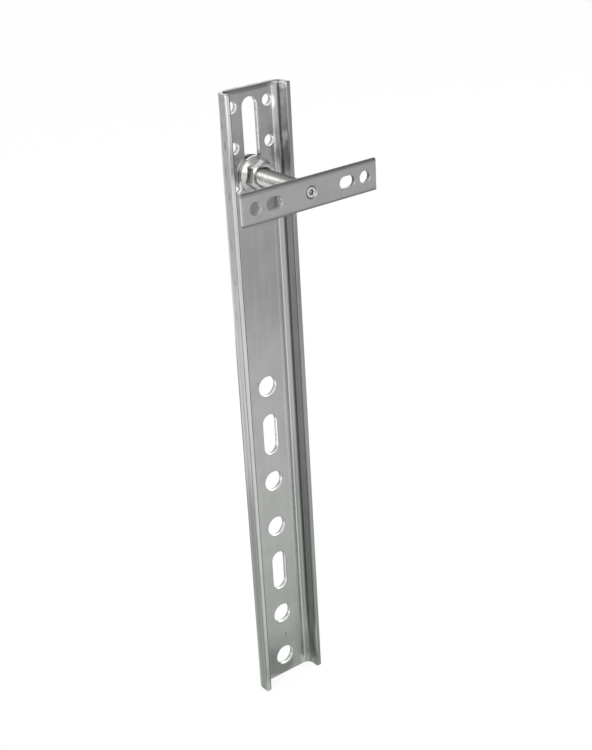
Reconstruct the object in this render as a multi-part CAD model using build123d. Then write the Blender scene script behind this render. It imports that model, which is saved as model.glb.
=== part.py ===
# Adjustable cantilever bracket: a pressed steel channel rail that bolts to a wall by its lower half, with a
# threaded stud clamped in a long slot near its free upper end and a flat cross bar on the front of the stud.
#
# Frame: millimetres, +Z up the rail, +X across it, +Y into the wall. The wall plane is y = 0, and the origin
# is the middle hole of the anchor row on that plane. The stud and the bar stand out towards -Y.
import os
from math import radians, sqrt, tan

from build123d import *

# Channel rail: a strip of sheet folded to a U with its open side to the front
RAIL_LENGTH = 390.0
RAIL_WIDTH = 45.0
RAIL_DEPTH = 12.6
SHEET_THICKNESS = 3.5
BEND_INNER_RADIUS = 4.0
CUT_EDGE_ROUNDING = 0.9
TOP_EDGE_ROLLOVER = 1.6
HOLE_RIM_ROUNDING = 0.4

# Anchor row in the rail's lower half: evenly spaced features, counted up from the lower end
ANCHOR_ROW = ("hole", "hole", "slot", "hole", "hole", "slot", "hole")
ORIGIN_FEATURE = 3
ANCHOR_PITCH = 32.25
LOWEST_ANCHOR_ABOVE_END = 13.8
ANCHOR_HOLE_DIAMETER = 13.0
ANCHOR_SLOT_WIDTH = 10.5
ANCHOR_SLOT_LENGTH = 27.0

# Small holes beside the long slot, in rows of two
SIDE_ROW_COUNT = 3
SIDE_ROW_PITCH = 23.1
TOP_ROW_BELOW_END = 10.2
SIDE_HOLE_DIAMETER = 6.8
SIDE_HOLE_SPACING = 24.4

# Long slot, centred on the rows of small holes, and the stud that is clamped in it
LONG_SLOT_BELOW_END = 6.2
STUD_SIDE_CLEARANCE = 0.3
STUD_BELOW_RAIL_TOP = 50.4
STUD_DIAMETER = 10.0
STUD_LENGTH = 65.0
STUD_END_CHAMFER = 0.9

# Flange nuts, one on each side of the web
NUT_ACROSS_FLATS = 16.0
NUT_HEIGHT = 10.0
NUT_FLANGE_DIAMETER = 21.8
NUT_FLANGE_EDGE = 2.3
NUT_FLANGE_SLOPE = 35.0
NUT_CROWN_DIAMETER = 15.2
NUT_CROWN_SLOPE = 30.0
NUT_COUNTERSINK = 0.8
NUT_CORNER_ANGLE = 18.4
THREAD_CLEARANCE = 0.05

# Cross bar: a flat strip with rounded long edges, a hole and a slot near each end
BAR_STAND_OFF = 52.6
BAR_LENGTH = 92.0
BAR_HEIGHT = 18.6
BAR_THICKNESS = 2.8
BAR_EDGE_ROUNDING = 1.2
BAR_HOLE_DIAMETER = 7.2
BAR_HOLE_FROM_END = 8.1
BAR_SLOT_WIDTH = 7.0
BAR_SLOT_LENGTH = 10.6
BAR_SLOT_FROM_END = 20.8

# Countersunk screw that holds the bar on the end of the stud
SCREW_LENGTH = 12.0
SCREW_SHANK_DIAMETER = 4.0
SCREW_HEAD_DIAMETER = 6.4
SCREW_HEAD_EDGE = 0.25
SCREW_HEAD_SINK = 0.35
RECESS_LOBES = 6
RECESS_CORE_DIAMETER = 2.8
RECESS_LOBE_DIAMETER = 0.9
RECESS_LOBE_CIRCLE = 3.0
RECESS_DEPTH = 1.4
TAPPED_HOLE_SPARE = 3.0
SWIVEL_CLEARANCE = 0.05

# Heights on the rail
RAIL_BOTTOM = -LOWEST_ANCHOR_ABOVE_END - ORIGIN_FEATURE * ANCHOR_PITCH
RAIL_TOP = RAIL_BOTTOM + RAIL_LENGTH
TOP_ROW_Z = RAIL_TOP - TOP_ROW_BELOW_END
MIDDLE_ROW_Z = TOP_ROW_Z - SIDE_ROW_PITCH * (SIDE_ROW_COUNT - 1) / 2
LONG_SLOT_WIDTH = STUD_DIAMETER + 2 * STUD_SIDE_CLEARANCE
LONG_SLOT_LENGTH = 2 * (RAIL_TOP - LONG_SLOT_BELOW_END - MIDDLE_ROW_Z)
STUD_Z = RAIL_TOP - STUD_BELOW_RAIL_TOP

# Depths from the wall plane, towards the front
WEB_FRONT = -SHEET_THICKNESS
BAR_BACK = -BAR_STAND_OFF
BAR_FRONT = BAR_BACK - BAR_THICKNESS
STUD_FRONT = BAR_BACK + SWIVEL_CLEARANCE
SCREW_HEAD_TOP = BAR_FRONT + SCREW_HEAD_SINK
SCREW_CONE_TOP = SCREW_HEAD_TOP + SCREW_HEAD_EDGE


def facing_front(y, z):
    """The plane at depth y and height z that faces the front: its own x is +X and its own y is +Z."""
    return Plane(origin=(0, y, z), x_dir=(1, 0, 0), z_dir=(0, -1, 0))


def on_stud_axis(y=0.0):
    """The place on the stud's axis at depth y."""
    return Pos(0, y, STUD_Z)


def turned(*points):
    """A turned solid about the Y axis, from the (radius, y) points of its half outline."""
    return revolve(make_face(Polyline(*points, close=True)), Axis.Y)


def hole_rims(shape):
    """The edges of every opening in the flat faces that look to the front or the back."""
    flats = shape.faces().filter_by(Axis.Y)
    return ShapeList(edge for flat in flats for wire in flat.inner_wires() for edge in wire.edges())


def channel_section():
    """The U section in plan, with its back on the wall plane and its bends rounded."""
    outer = Rectangle(RAIL_WIDTH, RAIL_DEPTH, align=(Align.CENTER, Align.MAX))
    outer = fillet(outer.vertices().group_by(Axis.Y)[-1], BEND_INNER_RADIUS + SHEET_THICKNESS)
    hollow = Rectangle(RAIL_WIDTH - 2 * SHEET_THICKNESS, RAIL_DEPTH, align=(Align.CENTER, Align.MAX))
    hollow = Pos(0, WEB_FRONT) * fillet(hollow.vertices().group_by(Axis.Y)[-1], BEND_INNER_RADIUS)
    return outer - hollow


def anchor_openings():
    """The row of round holes and upright slots in the lower half of the web."""
    hole = Circle(ANCHOR_HOLE_DIAMETER / 2)
    slot = SlotOverall(ANCHOR_SLOT_LENGTH, ANCHOR_SLOT_WIDTH, rotation=90)
    return [
        facing_front(0, (place - ORIGIN_FEATURE) * ANCHOR_PITCH) * (hole if form == "hole" else slot)
        for place, form in enumerate(ANCHOR_ROW)
    ]


def stud_openings():
    """The long slot near the top of the web, with the rows of small holes beside it."""
    slot = SlotOverall(LONG_SLOT_LENGTH, LONG_SLOT_WIDTH, rotation=90)
    hole = Circle(SIDE_HOLE_DIAMETER / 2)
    holes = [
        facing_front(0, TOP_ROW_Z - row * SIDE_ROW_PITCH) * Pos(side * SIDE_HOLE_SPACING / 2) * hole
        for row in range(SIDE_ROW_COUNT)
        for side in (-1, 1)
    ]
    return [facing_front(0, MIDDLE_ROW_Z) * slot, *holes]


def soft_channel():
    """The folded strip: rolled over at the top along its hollow side, and rounded at every other cut edge."""
    strip = Pos(0, 0, RAIL_BOTTOM) * extrude(channel_section(), RAIL_LENGTH)
    # A fillet on the web's edge follows the bends and flanges, so one straight edge stands for the whole side
    *_, web_front, _ = strip.faces().sort_by(Axis.Z)[-1].edges().filter_by(Axis.X).sort_by(Axis.Y)
    strip = fillet(web_front, TOP_EDGE_ROLLOVER)

    bottom, top = strip.faces().filter_by(Axis.Z).sort_by(Axis.Z)
    left_tip, right_tip, _, web_back = top.edges().filter_by(Axis.X).sort_by(Axis.Y)
    tips = strip.edges().filter_by(Axis.Z).group_by(Axis.Y)[0]
    return fillet([left_tip, right_tip, web_back, *bottom.edges(), *tips], CUT_EDGE_ROUNDING)


def channel_rail():
    """The pressed rail: the soft channel with everything punched through its web."""
    rail = soft_channel()
    openings = Sketch() + [*anchor_openings(), *stud_openings()]
    rail -= extrude(openings, RAIL_DEPTH, both=True)
    return fillet(hole_rims(rail), HOLE_RIM_ROUNDING)


def flange_nut():
    """A hexagon nut with a conical flange. Its flange sits at y = 0 and its hexagon faces the front."""
    flange_radius = NUT_FLANGE_DIAMETER / 2
    crown_radius = NUT_CROWN_DIAMETER / 2
    corner_radius = NUT_ACROSS_FLATS / sqrt(3)
    cone_height = flange_radius * tan(radians(NUT_FLANGE_SLOPE))
    crown_height = (corner_radius - crown_radius) * tan(radians(NUT_CROWN_SLOPE))
    flange = turned(
        (0, 0),
        (flange_radius, 0),
        (flange_radius, -NUT_FLANGE_EDGE),
        (0, -NUT_FLANGE_EDGE - cone_height),
    )
    crown = turned(
        (0, 0),
        (corner_radius, 0),
        (corner_radius, crown_height - NUT_HEIGHT),
        (crown_radius, -NUT_HEIGHT),
        (0, -NUT_HEIGHT),
    )
    hexagon = RegularPolygon(NUT_ACROSS_FLATS / 2, 6, major_radius=False, rotation=NUT_CORNER_ANGLE)
    nut = extrude(facing_front(0, 0) * hexagon, NUT_HEIGHT) & crown
    bore_radius = STUD_DIAMETER / 2 + THREAD_CLEARANCE
    mouth_radius = bore_radius + NUT_COUNTERSINK
    bore = turned(
        (0, 0),
        (mouth_radius, 0),
        (bore_radius, -NUT_COUNTERSINK),
        (bore_radius, NUT_COUNTERSINK - NUT_HEIGHT),
        (mouth_radius, -NUT_HEIGHT),
        (0, -NUT_HEIGHT),
    )
    return nut + flange - bore


def threaded_stud():
    """The stud, as the cylinder over its thread, with a blind hole in its front end for the screw."""
    radius = STUD_DIAMETER / 2
    back = STUD_FRONT + STUD_LENGTH
    hole_radius = SCREW_SHANK_DIAMETER / 2 + THREAD_CLEARANCE
    hole_end = SCREW_HEAD_TOP + SCREW_LENGTH + TAPPED_HOLE_SPARE
    stud = turned(
        (hole_radius, STUD_FRONT),
        (radius - STUD_END_CHAMFER, STUD_FRONT),
        (radius, STUD_FRONT + STUD_END_CHAMFER),
        (radius, back - STUD_END_CHAMFER),
        (radius - STUD_END_CHAMFER, back),
        (0, back),
        (0, hole_end),
        (hole_radius, hole_end),
    )
    return on_stud_axis() * stud


def cross_bar():
    """The flat bar: rounded long edges, a hole and a slot near each end, and a countersink at its middle."""
    section = fillet(Rectangle(BAR_THICKNESS, BAR_HEIGHT).vertices(), BAR_EDGE_ROUNDING)
    middle = Plane(origin=(0, (BAR_BACK + BAR_FRONT) / 2, STUD_Z), x_dir=(0, 1, 0), z_dir=(1, 0, 0))
    bar = extrude(middle * section, BAR_LENGTH / 2, both=True)

    front = facing_front(BAR_FRONT, STUD_Z)
    hole = Circle(BAR_HOLE_DIAMETER / 2)
    slot = SlotOverall(BAR_SLOT_LENGTH, BAR_SLOT_WIDTH)
    openings = Sketch() + [
        front * Pos(side * (BAR_LENGTH / 2 - from_end)) * outline
        for outline, from_end in ((hole, BAR_HOLE_FROM_END), (slot, BAR_SLOT_FROM_END))
        for side in (-1, 1)
    ]
    bar -= extrude(openings, BAR_THICKNESS, both=True)
    bar = fillet(hole_rims(bar), HOLE_RIM_ROUNDING)

    shank_radius = SCREW_SHANK_DIAMETER / 2 + SWIVEL_CLEARANCE
    cone_gap = SWIVEL_CLEARANCE * sqrt(2)
    mouth_radius = SCREW_HEAD_DIAMETER / 2 + SCREW_CONE_TOP - BAR_FRONT + cone_gap
    countersink = turned(
        (0, BAR_FRONT),
        (mouth_radius, BAR_FRONT),
        (shank_radius, BAR_FRONT + mouth_radius - shank_radius),
        (shank_radius, BAR_BACK),
        (0, BAR_BACK),
    )
    return bar - on_stud_axis() * countersink


def centre_screw():
    """The screw: a 90 degree countersunk head with a six-lobed recess, and a plain shank over its thread."""
    head_radius = SCREW_HEAD_DIAMETER / 2
    shank_radius = SCREW_SHANK_DIAMETER / 2
    screw = turned(
        (0, SCREW_HEAD_TOP),
        (head_radius, SCREW_HEAD_TOP),
        (head_radius, SCREW_CONE_TOP),
        (shank_radius, SCREW_CONE_TOP + head_radius - shank_radius),
        (shank_radius, SCREW_HEAD_TOP + SCREW_LENGTH),
        (0, SCREW_HEAD_TOP + SCREW_LENGTH),
    )
    lobes = PolarLocations(RECESS_LOBE_CIRCLE / 2, RECESS_LOBES) * Circle(RECESS_LOBE_DIAMETER / 2)
    star = facing_front(SCREW_HEAD_TOP, 0) * (Circle(RECESS_CORE_DIAMETER / 2) + lobes)
    return on_stud_axis() * (screw - extrude(star, -RECESS_DEPTH))


os.makedirs("parts", exist_ok=True)
nut = flange_nut()
nodes = {
    "channel_rail": channel_rail(),
    "threaded_stud": threaded_stud(),
    "front_flange_nut": on_stud_axis(WEB_FRONT) * nut,
    "rear_flange_nut": on_stud_axis() * Rot(0, 0, 180) * nut,
    "cross_bar": cross_bar(),
    "centre_screw": centre_screw(),
}
for name, shape in nodes.items():
    export_step(shape, f"parts/{name}.step")
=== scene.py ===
"""Adjustable cantilever bracket of galvanised steel: its finishes, thread, nuts and screw, on a pale floor."""
from math import atan2, cos, pi, radians, sin, sqrt, tan

import bmesh
import bpy
from mathutils import Matrix, Vector


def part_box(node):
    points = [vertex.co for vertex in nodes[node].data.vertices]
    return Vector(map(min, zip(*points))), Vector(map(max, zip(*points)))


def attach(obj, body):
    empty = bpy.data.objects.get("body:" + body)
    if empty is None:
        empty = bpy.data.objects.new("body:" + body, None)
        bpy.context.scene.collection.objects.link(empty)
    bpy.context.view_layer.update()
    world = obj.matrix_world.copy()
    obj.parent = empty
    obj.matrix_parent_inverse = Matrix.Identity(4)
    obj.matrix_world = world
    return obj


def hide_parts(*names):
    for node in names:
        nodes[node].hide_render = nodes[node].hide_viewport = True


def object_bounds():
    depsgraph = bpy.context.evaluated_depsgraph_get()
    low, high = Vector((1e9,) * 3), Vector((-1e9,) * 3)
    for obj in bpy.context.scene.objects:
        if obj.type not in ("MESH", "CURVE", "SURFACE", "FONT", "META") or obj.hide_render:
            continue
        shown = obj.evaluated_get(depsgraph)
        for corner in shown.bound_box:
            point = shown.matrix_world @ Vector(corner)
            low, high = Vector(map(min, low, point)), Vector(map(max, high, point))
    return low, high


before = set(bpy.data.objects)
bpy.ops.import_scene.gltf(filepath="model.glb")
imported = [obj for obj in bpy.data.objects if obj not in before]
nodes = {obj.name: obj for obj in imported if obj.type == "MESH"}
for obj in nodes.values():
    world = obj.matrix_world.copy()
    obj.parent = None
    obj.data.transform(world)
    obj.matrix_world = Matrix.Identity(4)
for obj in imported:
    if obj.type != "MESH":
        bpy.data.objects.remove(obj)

MM = 0.001
CAD_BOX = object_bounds()
FLOOR_Z = CAD_BOX[0].z

# The places of the stud, the web and the bar come from the frame
STUD_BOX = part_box("threaded_stud")
STUD_Z = (STUD_BOX[0].z + STUD_BOX[1].z) / 2
STUD_FRONT = STUD_BOX[0].y
STUD_LENGTH = STUD_BOX[1].y - STUD_BOX[0].y
STUD_RADIUS = (STUD_BOX[1].z - STUD_BOX[0].z) / 2
SCREW_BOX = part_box("centre_screw")
BAR_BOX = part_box("cross_bar")
WEB_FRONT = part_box("front_flange_nut")[1].y
WEB_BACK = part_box("rear_flange_nut")[0].y

# M10 coarse thread of the stud, with the widths of its crest and its root in pitches, and its end chamfer
THREAD_PITCH = 1.5 * MM
THREAD_DEPTH = 0.85 * MM
CREST_WIDTH = 0.125
ROOT_WIDTH = 0.25
END_CHAMFER = 0.9 * MM
TAPPED_HOLE_RADIUS = 2.05 * MM
TAPPED_HOLE_DEPTH = 15.3 * MM
ROWS_PER_TURN = 16
SIDES_OF_THREAD = 48
# The thread's grid is this many turns longer than the stud, and each step of closing an end takes this many turns
SPARE_TURNS = 8.0
CLOSING_TURNS = 0.9
THREAD_WELD = 0.004 * MM

# Flange nut, M10
NUT_ACROSS_FLATS = 16.0 * MM
NUT_CORNER_ANGLE = radians(18.4)
NUT_CORNER_ROUNDING = 0.4 * MM
NUT_HEIGHT = 10.0 * MM
FLANGE_RADIUS = 10.9 * MM
FLANGE_EDGE = 2.3 * MM
FLANGE_SLOPE = radians(35)
CROWN_RADIUS = 7.6 * MM
CROWN_SLOPE = radians(30)
BORE_RADIUS = 5.05 * MM
MOUTH_RADIUS = 5.85 * MM
MOUTH_DEPTH = 0.8 * MM
# Degrees from a corner of the hexagon to the middle of a flat, crowded at the corner, where the outline turns
CORNER_STEPS = (0.0, 0.4, 0.8, 1.2, 3.0, 6.0, 10.0, 15.0, 20.0, 25.0, 30.0)

# Countersunk screw with a six-lobed recess
HEAD_RADIUS = 3.2 * MM
HEAD_EDGE = 0.25 * MM
HEAD_ROUNDING = 0.2 * MM
SHANK_RADIUS = 2.0 * MM
RECESS_OUTER = 1.95 * MM
RECESS_INNER = 1.4 * MM
RECESS_DEPTH = 1.4 * MM
RECESS_CONE = 0.3 * MM
RECESS_TAPER = 0.9
RECESS_LOBES = 6
SCREW_LENGTH = 12.0 * MM
TIP_CHAMFER = 0.5 * MM
SIDES_OF_SCREW = 96

# The turned shells: steps in a rounded corner, how near points merge, and the angle from which an edge is sharp
ARC_STEPS = 4
SHELL_WELD = 0.002 * MM
SHARP_ANGLE = radians(32)

# Noise stays mostly in the middle of 0 to 1, so these parts of it are spread over the shades and the roughness
SHADE_RANGE = {"From Min": 0.35, "From Max": 0.65}
ROUGH_RANGE = {"From Min": 0.3, "From Max": 0.7}

# Galvanised strip. The real rolling lines and grain are finer, and are drawn as coarse as they need to show
ROLLING_LINE_LENGTH = 55 * MM
ROLLING_LINE_WIDTH = 3.0 * MM
MOTTLE_SIZE = 14 * MM
MOTTLE_SHARE = 0.6
GRAIN_SIZE = 0.5 * MM
GRAIN_SHARE = 0.35
GRAIN_BUMP = 0.18
GRAIN_HEIGHT = 0.01 * MM
COAT_SPREAD = 0.03
# This share of the cells holds a speck, which reaches over up to this part of its cell
SPECK_SPACING = 7 * MM
SPECK_SHARE = 0.5
SPECK_REACH = 0.08
# The rail's coat takes a faint green cast below the middle of the rail
CAST_TOP = 60 * MM
CAST_BOTTOM = -90 * MM
# A patch of wear or painted light is full in the inner part of its half size, thin in places, and fades outside it
PATCH_CORE = 0.5
PATCH_THIN = 0.8
# Flaws, wear and painted light and shade, each as (colour, middle, half size) in millimetres
# LONG runs the whole length of the strip
LONG = 4000
RAIL_MARKS_AND_PAINTED_LIGHT = (
    # The sheared edges of the strip: a painted highlight along the left one, brightest at the top
    ("#CFD0CF", (-20.9, -12.6, 84), (2.3, 1.6, LONG)),
    ("#E4E5E4", (-20.9, -12.6, 250), (2.3, 1.6, 190)),
    # A painted shade line along the inner side of the left edge
    ("#3C3D3C", (-19.2, -12.1, 84), (1.0, 1.4, LONG)),
    # The outside of the left flange, darker and bluer lower down
    ("#9E9FA0", (-22.5, -9.0, -20), (1.0, 2.2, 220)),
    # Painted shade along the right edge
    ("#989998", (20.7, -12.6, 84), (2.6, 1.6, LONG)),
    # The right fold: a painted highlight where it leaves the web, then painted shade, darkest in its corner
    ("#C4C5C4", (14.5, -3.5, 60), (4.3, 1.3, 270)),
    ("#E2E3E2", (14.6, -3.5, 90), (3.2, 1.3, 250)),
    ("#AFB0AF", (16.8, -3.9, 84), (1.0, 1.0, LONG)),
    ("#868786", (18.7, -6.1, 84), (0.8, 1.2, LONG)),
    # Painted shade on the inside of the right flange
    ("#8A8B8A", (19.0, -10.2, -10), (0.8, 3.6, 330)),
    # Painted highlights on the fold beside the two upper small holes
    ("#F4F5F4", (15.6, -3.9, 267.5), (2.0, 1.4, 5)),
    ("#FFFFFF", (15.4, -3.9, 244.5), (2.2, 1.4, 7)),
    # The top end: painted shade along the rollover, a painted highlight line along it and on the right flange
    ("#828382", (0.0, -3.5, 278.0), (34, 1.6, 2.2)),
    ("#F6F7F6", (0.0, -2.5, 279.6), (34, 1.5, 1.3)),
    ("#F0F1F0", (19.0, -9.5, 277.5), (1.2, 4.0, 3.2)),
    # A painted highlight on the left fold, beside the nut
    ("#F0F1F0", (-17.0, -5.0, 227), (4.5, 4.0, 22)),
    # A painted shadow of the bar on the web, at the lower end of the slot
    ("#888988", (6.0, -3.5, 209.0), (20, 1.5, 13)),
    # A scuff on the foot of the right flange, a fleck on the web and two on the left flange
    ("#B9BAB9", (19.0, -12.0, -89.0), (1.6, 3.0, 14)),
    ("#646564", (1.6, -3.5, -81.4), (0.4, 1.0, 1.9)),
    ("#7E7F7E", (-22.5, -8.9, 269.8), (1.0, 0.4, 1.1)),
    ("#7E7F7E", (-22.5, -9.7, 276.6), (1.0, 0.4, 0.8)),
    # Rub marks down the outside of the left flange
    ("#7E7F7E", (-22.5, -7.6, 262.0), (1.0, 0.6, 2.6)),
    ("#7E7F7E", (-22.5, -9.4, 251.0), (1.0, 0.7, 3.4)),
    ("#7E7F7E", (-22.5, -8.4, 236.0), (1.0, 0.6, 4.5)),
    ("#7E7F7E", (-22.5, -10.2, 222.0), (1.0, 0.6, 3.0)),
    ("#8A8B8A", (-22.5, -8.8, 193.0), (1.0, 0.5, 5.0)),
    ("#8A8B8A", (-22.5, -9.9, 171.0), (1.0, 0.6, 2.4)),
    ("#8A8B8A", (-22.5, -8.1, 150.0), (1.0, 0.5, 3.6)),
)
BAR_MARKS_AND_PAINTED_LIGHT = (
    # Painted highlights on the left end and along the back of the top edge, painted shade along the long edges
    ("#D8D9D8", (-46.0, -52.8, 229.0), (0.9, 1.4, LONG)),
    ("#828382", (0.0, -54.0, 238.4), (LONG, 4.0, 3.0)),
    ("#F0F1F0", (0.0, -52.6, 238.4), (LONG, 1.3, 1.3)),
    ("#767776", (0.0, -55.4, 219.7), (LONG, 4.0, 1.9)),
    # A scratch
    ("#8C8D8C", (20.3, -55.4, 223.5), (0.25, 1.0, 1.9)),
)
# A wall of an opening: how far from square to the strip's face it may stand, and where, as (axis, middle, reach)
WALL_FACING = 0.5
RAIL_WALLS = (("X", 0.0, 16 * MM),)
BAR_WALLS = (("X", 0.0, 44 * MM), ("Z", STUD_Z, 5 * MM))
# A punched wall is burnished from the front to this part of its depth, and torn behind a ragged border this deep
SHEARED_DEPTH = 0.45
SHEAR_BORDER = 0.9
SHEAR_BLUR = 0.2 * MM
TEAR_SIZE = 2.5 * MM

# Bright zinc: turning marks, and cloudy patches in the plate
TURNING_MARK = 0.45 * MM
TURNING_BUMP = 0.3
TURNING_HEIGHT = 0.008 * MM
ZINC_CLOUD = 3 * MM
CLOUD_SHARE = 0.5
ZINC_SPREAD = 0.05
# Painted shade dulls the thread between these heights above its axis, and darkens it from this far below its crests
UPPER_SHADE_HEIGHTS = (2.9 * MM, 4.2 * MM)
ROOT_SHADE_DEPTH = 0.45 * MM
# Painted shade darkens the screw between these depths below its face, and between these distances from its rim
RECESS_SHADE = (0.15 * MM, 0.6 * MM)
RIM_SHADE = (0.5 * MM, 0.1 * MM)

# The camera sees the object as the photograph does. Its place is in metres, and its lens and sensor in millimetres
CAMERA_PLACE = (-0.46947, -0.65235, 0.46273)
CAMERA_YAW = radians(37.124)
CAMERA_PITCH = radians(24.171)
CAMERA_ROLL = radians(-3.238)
CAMERA_LENS = 70.25
CAMERA_SENSOR = 36.0
CAMERA_NEAR = 0.01
CAMERA_FAR = 50.0

# The light from all round, the brightness of the background, and the lamps as (name, place, size, power)
WHITE = (1, 1, 1, 1)
WORLD_LIGHT = 0.6
WORLD_SEEN = 1.0
LAMPS = (
    ("lamp_left", (-1.2, -0.8, 1.4), 1.2, 9.0),
    ("lamp_right", (1.2, -1.0, 1.2), 1.2, 6.0),
)

# The set, in metres and degrees. Azimuth 0 is behind the object, 90 is to its right and 180 is in front
FLOOR_SIZE = 6.0
FLOOR_GLOW = 0.82
TENT_RADIUS = 0.6
TENT_MIDDLE_Y = -0.02
TENT_TOP = 1.6
ROOF_LEVEL = 0.87
# A panel bends in flat parts of about this angle, and the tent's rings on the ground lie this far under the floor
TENT_STEP = 15
TENT_UNDER_FLOOR = 0.5 * MM
# From azimuth, to azimuth, from height, to height, brightness
WALL_PANELS = (
    (120, 165, FLOOR_Z, 0.00, 0.65),
    (120, 165, 0.00, 0.10, 0.86),
    (165, 200, FLOOR_Z, 0.10, 0.84),
    (200, 240, FLOOR_Z, 0.10, 0.94),
    (-120, -60, FLOOR_Z, 0.10, 0.46),
    (-60, -15, FLOOR_Z, -0.05, 1.25),
    (-60, -15, -0.05, 0.10, 0.95),
    (-15, 60, FLOOR_Z, 0.10, 1.40),
    (60, 120, FLOOR_Z, 0.10, 1.20),
    (120, 150, 0.10, 0.35, 0.56),
    (150, 200, 0.10, 0.35, 1.40),
    (200, 240, 0.10, 0.35, 1.25),
    (-120, -60, 0.10, 0.16, 0.65),
    (-120, -60, 0.16, 0.80, 1.60),
    (-60, -15, 0.10, 0.35, 0.80),
    (-15, 60, 0.10, 0.35, 2.00),
    (60, 120, 0.10, 0.35, 0.50),
    (120, 150, 0.35, 0.80, 0.34),
    (150, 180, 0.35, 0.80, 0.87),
    (180, 240, 0.35, 0.80, 2.30),
    (-60, 0, 0.35, 0.80, 0.90),
    (0, 60, 0.35, 0.80, 1.20),
    (60, 120, 0.35, 0.80, 0.20),
    (-180, -60, 0.80, 1.60, 0.80),
    (-60, 180, 0.80, 1.60, 0.52),
)
# From azimuth, to azimuth, from radius, to radius, brightness
FLOOR_PANELS = (
    (-180, 180, 0.000, 0.015, 0.48),
    (-180, 180, 0.015, 0.035, 0.72),
    (120, 165, 0.035, 0.12, 0.87),
    (120, 165, 0.12, 0.60, 0.97),
    (165, 200, 0.035, 0.30, 0.54),
    (165, 200, 0.30, 0.60, 0.88),
    (200, 240, 0.035, 0.30, 0.76),
    (200, 240, 0.30, 0.60, 0.98),
    (-120, -60, 0.035, 0.60, 0.38),
    (-60, -15, 0.035, 0.30, 0.74),
    (-60, -15, 0.30, 0.60, 1.30),
    (-15, 60, 0.035, 0.60, 0.50),
    (60, 120, 0.035, 0.60, 0.66),
)


def linear(code):
    """A hex colour in sRGB as linear red, green, blue and alpha."""
    parts = [int(code[i:i + 2], 16) / 255 for i in (1, 3, 5)]
    return (*(p / 12.92 if p <= 0.04045 else ((p + 0.055) / 1.055) ** 2.4 for p in parts), 1.0)


def add(tree, kind, inputs=None, **settings):
    """Adds a node to a tree. Inputs are set or linked by name or number; settings are the node's own."""
    node = tree.nodes.new(kind)
    for name, value in settings.items():
        setattr(node, name, value)
    for key, value in (inputs or {}).items():
        if isinstance(value, bpy.types.NodeSocket):
            tree.links.new(value, node.inputs[key])
        else:
            node.inputs[key].default_value = value
    return node


def new_material(name):
    material = bpy.data.materials.new(name)
    material.use_nodes = True
    material.node_tree.nodes.clear()
    return material, material.node_tree


def dress(obj, material):
    """Gives a piece one material."""
    if not obj.data.materials:
        obj.data.materials.append(material)
    for slot in obj.material_slots:
        slot.material = material


def marked_and_painted(tree, coords, colour, marks_and_painted_light, patchy):
    """The colour with patches of wear and of painted light and shade over it, soft at their edges and uneven inside."""
    for code, middle, half in marks_and_painted_light:
        near = add(tree, "ShaderNodeMapping", {"Vector": coords, "Location": [-m / h for m, h in zip(middle, half)],
                                               "Scale": [1 / (h * MM) for h in half]})
        reach = add(tree, "ShaderNodeVectorMath", {0: near.outputs[0]}, operation="LENGTH").outputs["Value"]
        uneven = add(tree, "ShaderNodeMapRange", {"Value": patchy, **SHADE_RANGE, "To Min": PATCH_THIN,
                                                  "To Max": 1.0}).outputs[0]
        patch = add(tree, "ShaderNodeMapRange", {"Value": reach, "From Min": PATCH_CORE, "From Max": 1.0,
                                                 "To Min": uneven, "To Max": 0.0}).outputs[0]
        colour = add(tree, "ShaderNodeMix", {0: patch, 6: colour, 7: linear(code)}, data_type="RGBA").outputs[2]
    return colour


def punched_walls(tree, texture, limits):
    """A mask that is 1 on the walls of the openings, which stand square to the strip's face and lie off its edges."""
    facing = add(tree, "ShaderNodeSeparateXYZ", {0: texture["Normal"]}).outputs["Y"]
    mask = add(tree, "ShaderNodeMath", {0: facing, 1: 0.0, 2: WALL_FACING}, operation="COMPARE").outputs[0]
    place = add(tree, "ShaderNodeSeparateXYZ", {0: texture["Object"]}).outputs
    for axis, middle, reach in limits:
        near = add(tree, "ShaderNodeMath", {0: place[axis], 1: middle, 2: reach}, operation="COMPARE").outputs[0]
        mask = add(tree, "ShaderNodeMath", {0: mask, 1: near}, operation="MULTIPLY").outputs[0]
    return mask


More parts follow.
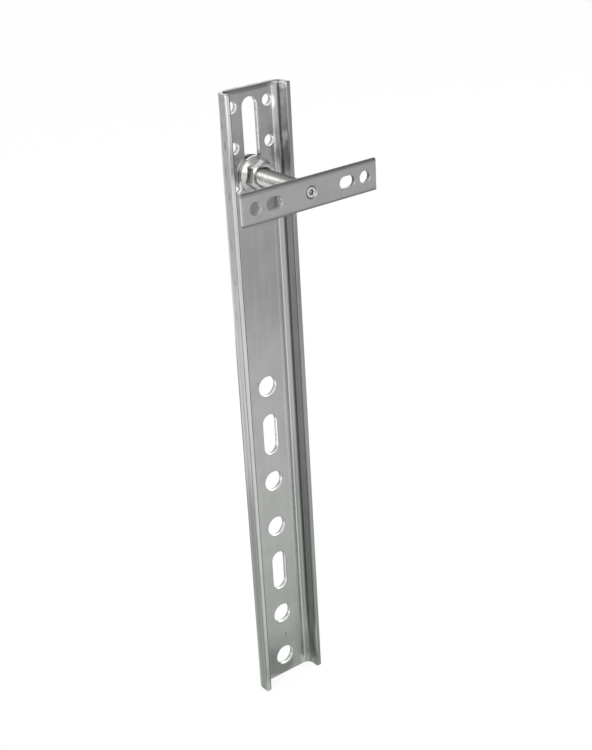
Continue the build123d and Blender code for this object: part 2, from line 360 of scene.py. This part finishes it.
def rolled_galvanised(name, light, dark, speck, punched, cast, roughness, along, marks_and_painted_light, limits):
    """Strip with a zinc coat: rolling lines along its length, faint mottling, a fine grain and a few dark specks.
    Punched is (front, back, burnished colour, torn colour) for the walls of its openings, and cast tints its foot."""
    material, tree = new_material(name)
    texture = add(tree, "ShaderNodeTexCoord").outputs
    coords = texture["Object"]
    stretch = [1 / (ROLLING_LINE_LENGTH if axis == along else ROLLING_LINE_WIDTH) for axis in "XYZ"]
    lines = add(tree, "ShaderNodeMapping", {"Vector": coords, "Scale": stretch}).outputs[0]
    rolling = add(tree, "ShaderNodeTexNoise", {"Vector": lines, "Scale": 1.0, "Detail": 2.0}).outputs["Fac"]
    mottle = add(tree, "ShaderNodeTexNoise", {"Vector": coords, "Scale": 1 / MOTTLE_SIZE, "Detail": 3.0}).outputs["Fac"]
    grain = add(tree, "ShaderNodeTexNoise", {"Vector": coords, "Scale": 1 / GRAIN_SIZE, "Detail": 2.0}).outputs["Fac"]
    cells = add(tree, "ShaderNodeTexVoronoi", {"Vector": coords, "Scale": 1 / SPECK_SPACING})
    chosen = add(tree, "ShaderNodeSeparateColor", {0: cells.outputs["Color"]}).outputs[0]
    reach = add(tree, "ShaderNodeMapRange", {"Value": chosen, "From Min": 1 - SPECK_SHARE, "From Max": 1.0,
                                             "To Min": 0.0, "To Max": SPECK_REACH}).outputs[0]
    specks = add(tree, "ShaderNodeMath", {0: cells.outputs["Distance"], 1: reach}, operation="LESS_THAN").outputs[0]

    shade = add(tree, "ShaderNodeMix", {0: MOTTLE_SHARE, 2: rolling, 3: mottle}).outputs[0]
    shade = add(tree, "ShaderNodeMapRange", {"Value": shade, **SHADE_RANGE}).outputs[0]
    coat = add(tree, "ShaderNodeMix", {0: shade, 6: linear(dark), 7: linear(light)}, data_type="RGBA").outputs[2]
    specked = add(tree, "ShaderNodeMix", {0: specks, 6: coat, 7: linear(speck)}, data_type="RGBA").outputs[2]
    marked_and_painted_colour = marked_and_painted(tree, coords, specked, marks_and_painted_light, mottle)
    place = add(tree, "ShaderNodeSeparateXYZ", {0: coords}).outputs
    low = add(tree, "ShaderNodeMapRange", {"Value": place["Z"], "From Min": CAST_TOP,
                                           "From Max": CAST_BOTTOM}).outputs[0]
    tinted = add(tree, "ShaderNodeMix", {0: low, 6: marked_and_painted_colour, 7: linear(cast)}, data_type="RGBA", blend_type="MULTIPLY")

    front, back, burnished, torn = punched
    tear = add(tree, "ShaderNodeTexNoise", {"Vector": coords, "Scale": 1 / TEAR_SIZE, "Detail": 3.0}).outputs["Fac"]
    ragged = add(tree, "ShaderNodeMath", {0: tear, 1: (back - front) * SHEAR_BORDER, 2: place["Y"]},
                 operation="MULTIPLY_ADD").outputs[0]
    border = front + (back - front) * (SHEARED_DEPTH + SHEAR_BORDER / 2)
    depth = add(tree, "ShaderNodeMapRange", {"Value": ragged, "From Min": border - SHEAR_BLUR,
                                             "From Max": border + SHEAR_BLUR}).outputs[0]
    punch = add(tree, "ShaderNodeMix", {0: depth, 6: linear(burnished), 7: linear(torn)}, data_type="RGBA").outputs[2]
    colour = add(tree, "ShaderNodeMix", {0: punched_walls(tree, texture, limits), 6: tinted.outputs[2], 7: punch},
                 data_type="RGBA").outputs[2]

    uneven = add(tree, "ShaderNodeMix", {0: GRAIN_SHARE, 2: rolling, 3: grain}).outputs[0]
    rough = add(tree, "ShaderNodeMapRange", {"Value": uneven, **ROUGH_RANGE, "To Min": roughness - COAT_SPREAD,
                                             "To Max": roughness + COAT_SPREAD}).outputs[0]
    bump = add(tree, "ShaderNodeBump", {"Strength": GRAIN_BUMP, "Distance": GRAIN_HEIGHT, "Height": uneven}).outputs[0]
    shader = add(tree, "ShaderNodeBsdfPrincipled", {"Base Color": colour, "Metallic": 1.0, "Roughness": rough,
                                                    "Normal": bump})
    add(tree, "ShaderNodeOutputMaterial", {"Surface": shader.outputs[0]})
    return material


def bright_zinc(name, light, dark, roughness, painted_shade=()):
    """Turned or rolled steel with a bright zinc plate: fine rings round the stud's axis under a cloudy, shiny coat.
    The painted shade darkens the colour between two values of a measure, as (colour, measure, from, to)."""
    material, tree = new_material(name)
    coords = add(tree, "ShaderNodeTexCoord").outputs["Object"]
    centred = add(tree, "ShaderNodeMapping", {"Vector": coords, "Location": (0, 0, -STUD_Z)}).outputs[0]
    place = add(tree, "ShaderNodeSeparateXYZ", {0: centred}).outputs
    across = add(tree, "ShaderNodeCombineXYZ", {"X": place["X"], "Y": place["Z"]}).outputs[0]
    radius = add(tree, "ShaderNodeVectorMath", {0: across}, operation="LENGTH").outputs["Value"]
    rings = add(tree, "ShaderNodeCombineXYZ", {"X": radius, "Y": place["Y"]}).outputs[0]
    turning = add(tree, "ShaderNodeTexNoise", {"Vector": rings, "Scale": 1 / TURNING_MARK,
                                               "Detail": 3.0}).outputs["Fac"]
    cloud = add(tree, "ShaderNodeTexNoise", {"Vector": coords, "Scale": 1 / ZINC_CLOUD, "Detail": 4.0}).outputs["Fac"]
    shade = add(tree, "ShaderNodeMapRange", {"Value": cloud, **SHADE_RANGE}).outputs[0]
    colour = add(tree, "ShaderNodeMix", {0: shade, 6: linear(dark), 7: linear(light)}, data_type="RGBA").outputs[2]
    for shadow, measure, shallow, deep in painted_shade:
        value = radius if measure == "radius" else place[measure]
        depth = add(tree, "ShaderNodeMapRange", {"Value": value, "From Min": shallow, "From Max": deep}).outputs[0]
        colour = add(tree, "ShaderNodeMix", {0: depth, 6: colour, 7: linear(shadow)}, data_type="RGBA").outputs[2]
    uneven = add(tree, "ShaderNodeMix", {0: CLOUD_SHARE, 2: turning, 3: cloud}).outputs[0]
    rough = add(tree, "ShaderNodeMapRange", {"Value": uneven, **ROUGH_RANGE, "To Min": roughness - ZINC_SPREAD,
                                             "To Max": roughness + ZINC_SPREAD}).outputs[0]
    bump = add(tree, "ShaderNodeBump", {"Strength": TURNING_BUMP, "Distance": TURNING_HEIGHT,
                                        "Height": turning}).outputs[0]
    shader = add(tree, "ShaderNodeBsdfPrincipled", {"Base Color": colour, "Metallic": 1.0, "Roughness": rough,
                                                    "Normal": bump})
    add(tree, "ShaderNodeOutputMaterial", {"Surface": shader.outputs[0]})
    return material


# The rail's zinc coat is satin grey, so its bends draw sharp light and dark lines; painted ones are added to them
rail_steel = rolled_galvanised(
    "galvanised_sheet", light="#B3B4B3", dark="#A9AAA9", speck="#868786",
    punched=(WEB_FRONT, WEB_BACK, "#ECEDEB", "#B4B5B3"), cast="#F8FFF7", roughness=0.22, along="Z",
    marks_and_painted_light=RAIL_MARKS_AND_PAINTED_LIGHT, limits=RAIL_WALLS)
# The bar is cut from a flatter, duller strip, so it stays an even mid grey
bar_steel = rolled_galvanised(
    "galvanised_strip", light="#AFB0AF", dark="#A6A7A6", speck="#858685",
    punched=(BAR_BOX[0].y, BAR_BOX[1].y, "#B4B5B4", "#8E8F8E"), cast="#FFFFFF", roughness=0.34, along="X",
    marks_and_painted_light=BAR_MARKS_AND_PAINTED_LIGHT, limits=BAR_WALLS)
# Bright zinc plate is paler and glossier than the strip, so the nuts and the thread glitter
nut_zinc = bright_zinc("bright_zinc_nut", light="#CCCCCA", dark="#BEBEBC", roughness=0.19)
# Painted shade in the roots of the thread draws its teeth, and painted shade dulls its upper side
stud_zinc = bright_zinc("bright_zinc_thread", light="#EEEEEC", dark="#E0E0DE", roughness=0.2, painted_shade=(
    ("#A0A09E", "Z", *UPPER_SHADE_HEIGHTS),
    ("#626260", "radius", STUD_RADIUS - ROOT_SHADE_DEPTH, STUD_RADIUS - THREAD_DEPTH)))
# Painted shade darkens the star recess below the screw's bright face, and rings the head
screw_zinc = bright_zinc("bright_zinc_screw", light="#E4E4E2", dark="#D4D4D2", roughness=0.2, painted_shade=(
    ("#949492", "Y", *(SCREW_BOX[0].y + depth for depth in RECESS_SHADE)),
    ("#70706F", "radius", *(HEAD_RADIUS - inset for inset in RIM_SHADE))))


def thread_tree():
    """A rolled thread along +Y: a sheared grid, wrapped round the axis so that its rows follow the helix."""
    tree = bpy.data.node_groups.new("rolled_thread", "GeometryNodeTree")
    for name in ("Length", "Radius", "Pitch", "Depth", "Chamfer", "Hole Radius", "Hole Depth", "Front", "Height"):
        tree.interface.new_socket(name, in_out="INPUT", socket_type="NodeSocketFloat")
    for name in ("Sides", "Rows per Turn"):
        tree.interface.new_socket(name, in_out="INPUT", socket_type="NodeSocketInt")
    tree.interface.new_socket("Finish", in_out="INPUT", socket_type="NodeSocketMaterial")
    tree.interface.new_socket("Thread", in_out="OUTPUT", socket_type="NodeSocketGeometry")
    size = add(tree, "NodeGroupInput").outputs

    def maths(operation, *values):
        return add(tree, "ShaderNodeMath", dict(enumerate(values)), operation=operation).outputs[0]

    def ramp(value, low, high, at_low, at_high):
        return add(tree, "ShaderNodeMapRange", {"Value": value, "From Min": low, "From Max": high, "To Min": at_low,
                                                "To Max": at_high}).outputs[0]

    step = maths("DIVIDE", size["Pitch"], size["Rows per Turn"])
    spare = maths("MULTIPLY", size["Pitch"], SPARE_TURNS)
    pairs = maths("ROUND", maths("DIVIDE", maths("ADD", size["Length"], spare), maths("MULTIPLY", step, 2.0)))
    steps = maths("MULTIPLY", pairs, 2.0)
    grid = add(tree, "GeometryNodeMeshGrid", {
        "Size X": maths("MULTIPLY", steps, step), "Size Y": 2 * pi,
        "Vertices X": maths("ADD", steps, 1.0), "Vertices Y": maths("ADD", size["Sides"], 1.0)})
    place = add(tree, "ShaderNodeSeparateXYZ", {0: add(tree, "GeometryNodeInputPosition").outputs[0]}).outputs
    along, angle = place["X"], place["Y"]
    lead = maths("MULTIPLY", size["Pitch"], maths("DIVIDE", angle, 2 * pi))
    depth = maths("SUBTRACT", maths("ADD", along, maths("MULTIPLY", size["Length"], 0.5)), lead)

    # The tooth: a flat crest, straight flanks and a flat root
    phase = maths("FRACT", maths("DIVIDE", along, size["Pitch"]))
    from_crest = maths("ABSOLUTE", maths("SUBTRACT", maths("MULTIPLY", phase, 2.0), 1.0))
    root = maths("SUBTRACT", size["Radius"], size["Depth"])
    tooth = ramp(from_crest, CREST_WIDTH, 1.0 - ROOT_WIDTH, size["Radius"], root)

    # The chamfered ends: past an end the rows close in to the middle, at the front by way of the tapped hole
    rest = maths("SUBTRACT", size["Length"], depth)
    end_radius = maths("SUBTRACT", size["Radius"], size["Chamfer"])
    nearest = maths("MAXIMUM", maths("MINIMUM", depth, rest), 0.0)
    body = maths("MINIMUM", tooth, maths("ADD", end_radius, nearest))
    past_front = maths("DIVIDE", maths("SUBTRACT", maths("MULTIPLY", depth, -1.0), step), size["Pitch"])
    past_back = maths("DIVIDE", maths("SUBTRACT", maths("MULTIPLY", rest, -1.0), step), size["Pitch"])
    ring = maths("SUBTRACT", end_radius, size["Hole Radius"])
    start, rim, bottom, middle = (CLOSING_TURNS * i for i in range(4))
    front_loss = maths("ADD", ramp(past_front, start, rim, 0.0, ring),
                       ramp(past_front, bottom, middle, 0.0, size["Hole Radius"]))
    back_loss = ramp(past_back, start, rim, 0.0, end_radius)
    radius = maths("SUBTRACT", maths("SUBTRACT", body, front_loss), back_loss)
    inside = ramp(past_front, rim, bottom, 0.0, size["Hole Depth"])
    held = maths("MINIMUM", maths("MAXIMUM", depth, 0.0), size["Length"])
    position = add(tree, "ShaderNodeCombineXYZ", {
        "X": maths("MULTIPLY", radius, maths("COSINE", angle)),
        "Y": maths("ADD", maths("ADD", size["Front"], held), inside),
        "Z": maths("ADD", size["Height"], maths("MULTIPLY", radius, maths("SINE", angle)))})
    wrapped = add(tree, "GeometryNodeSetPosition", {"Geometry": grid.outputs["Mesh"], "Position": position.outputs[0]})
    closed = add(tree, "GeometryNodeMergeByDistance", {"Geometry": wrapped.outputs[0], "Distance": THREAD_WELD})
    smooth = add(tree, "GeometryNodeSetShadeSmooth", {"Geometry": closed.outputs[0], "Shade Smooth": True})
    real = add(tree, "GeometryNodeRealizeInstances", {"Geometry": smooth.outputs[0]})
    dressed = add(tree, "GeometryNodeSetMaterial", {"Geometry": real.outputs[0], "Material": size["Finish"]})
    add(tree, "NodeGroupOutput", {0: dressed.outputs[0]})
    return tree


def grown(name, tree, values):
    """The plain mesh that a tree of Geometry Nodes makes with these inputs, as an object."""
    obj = bpy.data.objects.new(name, bpy.data.meshes.new(name))
    bpy.context.scene.collection.objects.link(obj)
    modifier = obj.modifiers.new("grown", "NODES")
    modifier.node_group = tree
    sockets = {item.name: item.identifier for item in tree.interface.items_tree if item.in_out == "INPUT"}
    for title, value in values.items():
        modifier[sockets[title]] = value
    evaluated = obj.evaluated_get(bpy.context.evaluated_depsgraph_get())
    mesh = bpy.data.meshes.new_from_object(evaluated)
    obj.modifiers.remove(modifier)
    obj.data = mesh
    return obj


def finish_piece(obj, body, slot, *nodes):
    """Recalculates a closed shell's normals, marks its sharp edges and hangs it on its body."""
    shell = bmesh.new()
    shell.from_mesh(obj.data)
    bmesh.ops.recalc_face_normals(shell, faces=shell.faces)
    shell.to_mesh(obj.data)
    shell.free()
    obj.data.shade_smooth()
    obj.data.set_sharp_from_angle(angle=SHARP_ANGLE)
    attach(obj, body)
    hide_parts(*nodes)


stud = grown("rolled_stud", thread_tree(), {
    "Length": STUD_LENGTH, "Radius": STUD_RADIUS, "Pitch": THREAD_PITCH, "Depth": THREAD_DEPTH,
    "Chamfer": END_CHAMFER, "Hole Radius": TAPPED_HOLE_RADIUS, "Hole Depth": TAPPED_HOLE_DEPTH,
    "Front": STUD_FRONT, "Height": STUD_Z, "Sides": SIDES_OF_THREAD, "Rows per Turn": ROWS_PER_TURN,
    "Finish": stud_zinc})
finish_piece(stud, "stud", "stud_zinc", "threaded_stud")


def rounded(corners):
    """A half outline with its corners rounded. The corners are (radius, height, rounding)."""
    points = []
    for before, here, after in zip(corners[-1:] + corners[:-1], corners, corners[1:] + corners[:1]):
        at, rounding = Vector(here[:2]), here[2]
        if not rounding:
            points.append(at)
            continue
        back = (Vector(before[:2]) - at).normalized()
        on = (Vector(after[:2]) - at).normalized()
        half = back.angle(on) / 2
        centre = at + (back + on).normalized() * rounding / sin(half)
        start, end = (at + way * rounding / tan(half) - centre for way in (back, on))
        steps = (i / ARC_STEPS for i in range(ARC_STEPS + 1))
        points += [centre + start.lerp(end, t).normalized() * rounding for t in steps]
    return points


def turned_shell(name, material, angles, outline, place, closed=True):
    """A closed shell round the stud's axis: outline(angle) gives its (radius, height) points at each angle, and
    place puts them on the stud. An outline that starts and ends on the axis isn't closed."""
    shell = bmesh.new()
    columns = [[shell.verts.new(place(r * cos(angle), h, r * sin(angle))) for r, h in outline(angle)]
               for angle in angles]
    count = len(columns[0])
    for left, right in zip(columns, columns[1:] + columns[:1]):
        for i in range(count if closed else count - 1):
            j = (i + 1) % count
            shell.faces.new((left[i], left[j], right[j], right[i]))
    bmesh.ops.remove_doubles(shell, verts=shell.verts, dist=SHELL_WELD)
    mesh = bpy.data.meshes.new(name)
    shell.to_mesh(mesh)
    shell.free()
    mesh.materials.append(material)
    obj = bpy.data.objects.new(name, mesh)
    bpy.context.scene.collection.objects.link(obj)
    return obj


def hexagon_radius(off_corner):
    """The radius of the nut's rounded hexagon at an angle from its nearest corner."""
    half = NUT_ACROSS_FLATS / 2
    centre = (half - NUT_CORNER_ROUNDING) / cos(pi / 6)
    if off_corner < pi / 6 - atan2(centre * sin(pi / 6), half):
        return centre * cos(off_corner) + sqrt(NUT_CORNER_ROUNDING ** 2 - (centre * sin(off_corner)) ** 2)
    return half / cos(pi / 6 - off_corner)


def nut_outline(angle):
    """The flange nut's section at an angle, round from the mouth of its bore in the bearing face. Only the hexagon,
    the slope of the flange below it and the crown's chamfer above it change with the angle."""
    side = hexagon_radius(abs((angle - NUT_CORNER_ANGLE + pi / 6) % (pi / 3) - pi / 6))
    foot = FLANGE_EDGE + (FLANGE_RADIUS - side) * tan(FLANGE_SLOPE)
    shoulder = NUT_HEIGHT - (side - CROWN_RADIUS) * tan(CROWN_SLOPE)
    return rounded([
        (MOUTH_RADIUS, 0.0, 0.0),
        (FLANGE_RADIUS, 0.0, 0.4 * MM),
        (FLANGE_RADIUS, FLANGE_EDGE, 0.5 * MM),
        (side, foot, 0.5 * MM),
        (side, shoulder, 0.25 * MM),
        (CROWN_RADIUS, NUT_HEIGHT, 0.4 * MM),
        (MOUTH_RADIUS, NUT_HEIGHT, 0.15 * MM),
        (BORE_RADIUS, NUT_HEIGHT - MOUTH_DEPTH, 0.0),
        (BORE_RADIUS, MOUTH_DEPTH, 0.0),
    ])


def screw_outline(angle):
    """The screw's section at an angle, from the middle of its recess to the middle of its tip."""
    star = (RECESS_OUTER + RECESS_INNER) / 2 + (RECESS_OUTER - RECESS_INNER) / 2 * cos(RECESS_LOBES * angle)
    neck = HEAD_EDGE + HEAD_RADIUS - SHANK_RADIUS
    return rounded([
        (0.0, RECESS_DEPTH + RECESS_CONE, 0.0),
        (star * RECESS_TAPER, RECESS_DEPTH, 0.1 * MM),
        (star, 0.0, 0.12 * MM),
        (HEAD_RADIUS, 0.0, HEAD_ROUNDING),
        (HEAD_RADIUS, HEAD_EDGE, 0.0),
        (SHANK_RADIUS, neck, 0.2 * MM),
        (SHANK_RADIUS, SCREW_LENGTH - TIP_CHAMFER, 0.0),
        (SHANK_RADIUS - TIP_CHAMFER, SCREW_LENGTH, 0.0),
        (0.0, SCREW_LENGTH, 0.0),
    ])


# The middle of a flat is shared with the next corner, so only one side of a corner has it
one_sixth = sorted({radians(side * step) for step in CORNER_STEPS for side in (-1, 1) if side * step > -30})
nut_angles = [NUT_CORNER_ANGLE + sector * pi / 3 + step for sector in range(6) for step in one_sixth]
screw_angles = [2 * pi * i / SIDES_OF_SCREW for i in range(SIDES_OF_SCREW)]
front_nut = turned_shell("front_nut", nut_zinc, nut_angles, nut_outline,
                         lambda x, h, z: (x, WEB_FRONT - h, STUD_Z + z))
rear_nut = turned_shell("rear_nut", nut_zinc, nut_angles, nut_outline,
                        lambda x, h, z: (-x, WEB_BACK + h, STUD_Z + z))
screw = turned_shell("star_screw", screw_zinc, screw_angles, screw_outline,
                     lambda x, h, z: (x, SCREW_BOX[0].y + h, STUD_Z + z), closed=False)
finish_piece(front_nut, "nuts", "nut_zinc", "front_flange_nut")
finish_piece(rear_nut, "nuts", "nut_zinc", "rear_flange_nut")
finish_piece(screw, "stud", "screw_zinc", "centre_screw")

dress(nodes["channel_rail"], rail_steel)
dress(nodes["cross_bar"], bar_steel)


def place_camera():
    """The photograph's view: from the left, above, and turned slightly about its own axis."""
    across = Vector((cos(CAMERA_YAW), -sin(CAMERA_YAW), 0))
    ahead = Vector((sin(CAMERA_YAW) * cos(CAMERA_PITCH), cos(CAMERA_YAW) * cos(CAMERA_PITCH), -sin(CAMERA_PITCH)))
    up = across.cross(ahead)
    side = cos(CAMERA_ROLL) * across + sin(CAMERA_ROLL) * up
    top = cos(CAMERA_ROLL) * up - sin(CAMERA_ROLL) * across
    camera = bpy.data.objects.new("camera", bpy.data.cameras.new("camera"))
    bpy.context.scene.collection.objects.link(camera)
    turn = Matrix((side, top, -ahead)).transposed().to_4x4()
    camera.matrix_world = Matrix.Translation(CAMERA_PLACE) @ turn
    camera.data.sensor_width = CAMERA_SENSOR
    camera.data.lens = CAMERA_LENS
    camera.data.clip_start = CAMERA_NEAR
    camera.data.clip_end = CAMERA_FAR
    bpy.context.scene.camera = camera


def seen_by_eye(tree):
    """1 for the rays that show the background: camera, glossy and transmission rays."""
    path = add(tree, "ShaderNodeLightPath")
    seen = add(tree, "ShaderNodeMath", {0: path.outputs["Is Camera Ray"], 1: path.outputs["Is Glossy Ray"]},
               operation="MAXIMUM")
    return add(tree, "ShaderNodeMath", {0: seen.outputs[0], 1: path.outputs["Is Transmission Ray"]},
               operation="MAXIMUM").outputs[0]


def white_world():
    """A white background to the eye, which lights the object more softly."""
    world = bpy.data.worlds.new("studio")
    bpy.context.scene.world = world
    world.use_nodes = True
    tree = world.node_tree
    tree.nodes.clear()
    soft = add(tree, "ShaderNodeBackground", {"Color": WHITE, "Strength": WORLD_LIGHT})
    white = add(tree, "ShaderNodeBackground", {"Color": WHITE, "Strength": WORLD_SEEN})
    both = add(tree, "ShaderNodeMixShader", {0: seen_by_eye(tree), 1: soft.outputs[0], 2: white.outputs[0]})
    add(tree, "ShaderNodeOutputWorld", {"Surface": both.outputs[0]})


def stage_sheet(name, corners, faces, material):
    """A part of the set: the floor, or the cloth and cards that the metal mirrors."""
    mesh = bpy.data.meshes.new(name)
    mesh.from_pydata(corners, [], faces)
    mesh.materials.append(material)
    obj = bpy.data.objects.new(name, mesh)
    bpy.context.scene.collection.objects.link(obj)
    return obj


def pale_floor():
    """The floor: white to the eye, apart from the object's soft shadow on it."""
    material, tree = new_material("white_paper")
    paper = add(tree, "ShaderNodeBsdfDiffuse", {"Color": linear("#E6E6E6")})
    lit = add(tree, "ShaderNodeBsdfDiffuse", {"Color": linear("#8C8C8C")})
    glow = add(tree, "ShaderNodeEmission", {"Color": WHITE, "Strength": FLOOR_GLOW})
    bright = add(tree, "ShaderNodeAddShader", {0: lit.outputs[0], 1: glow.outputs[0]})
    both = add(tree, "ShaderNodeMixShader", {0: seen_by_eye(tree), 1: paper.outputs[0], 2: bright.outputs[0]})
    add(tree, "ShaderNodeOutputMaterial", {"Surface": both.outputs[0]})
    half = FLOOR_SIZE / 2
    corners = [(x, y, FLOOR_Z) for x, y in ((-half, -half), (half, -half), (half, half), (-half, half))]
    floor = stage_sheet("floor", corners, [(0, 1, 2, 3)], material)
    floor.visible_glossy = False


def light_tent():
    """White cloth and grey cards on a circle round the object. Only the metal's reflections show them."""
    corners, faces, levels = [], [], []

    def panel(start, end, low_edge, high_edge, level):
        steps = max(1, round((end - start) / TENT_STEP))
        for i in range(steps):
            turns = [radians(start + (end - start) * k / steps) for k in (i, i + 1)]
            ring = [(edge, turn) for edge, turn in zip((low_edge, low_edge, high_edge, high_edge), turns + turns[::-1])]
            first = len(corners)
            corners.extend((radius * sin(turn), radius * cos(turn) + TENT_MIDDLE_Y, z) for (radius, z), turn in ring)
            faces.append(tuple(range(first, first + 4)))
            levels.append(level)

    for start, end, low, high, level in WALL_PANELS:
        panel(start, end, (TENT_RADIUS, low), (TENT_RADIUS, high), level)
    ground = FLOOR_Z - TENT_UNDER_FLOOR
    for start, end, near, far, level in FLOOR_PANELS:
        panel(start, end, (near, ground), (far, ground), level)
    panel(-180, 180, (0.0, TENT_TOP), (TENT_RADIUS, TENT_TOP), ROOF_LEVEL)

    material, tree = new_material("tent_cloth")
    level = add(tree, "ShaderNodeAttribute", attribute_name="level").outputs["Fac"]
    glow = add(tree, "ShaderNodeEmission", {"Color": WHITE, "Strength": level})
    add(tree, "ShaderNodeOutputMaterial", {"Surface": glow.outputs[0]})
    tent = stage_sheet("light_tent", corners, faces, material)
    tent.data.attributes.new("level", "FLOAT", "FACE").data.foreach_set("value", levels)
    tent.visible_camera = tent.visible_diffuse = tent.visible_shadow = tent.visible_transmission = False


def soft_lamp(name, place, size, power):
    """A large square lamp aimed at the middle of the object. It draws the floor's soft shadow."""
    lamp = bpy.data.objects.new(name, bpy.data.lights.new(name, "AREA"))
    bpy.context.scene.collection.objects.link(lamp)
    lamp.data.size = size
    lamp.data.energy = power
    aim = Vector((0, 0, (CAD_BOX[0].z + CAD_BOX[1].z) / 2)) - Vector(place)
    lamp.matrix_world = Matrix.Translation(place) @ aim.to_track_quat("-Z", "Y").to_matrix().to_4x4()
    lamp.visible_camera = lamp.visible_glossy = False


place_camera()
bpy.context.scene.view_settings.view_transform = "Standard"
white_world()
pale_floor()
light_tent()
for name, place, size, power in LAMPS:
    soft_lamp(name, place, size, power)
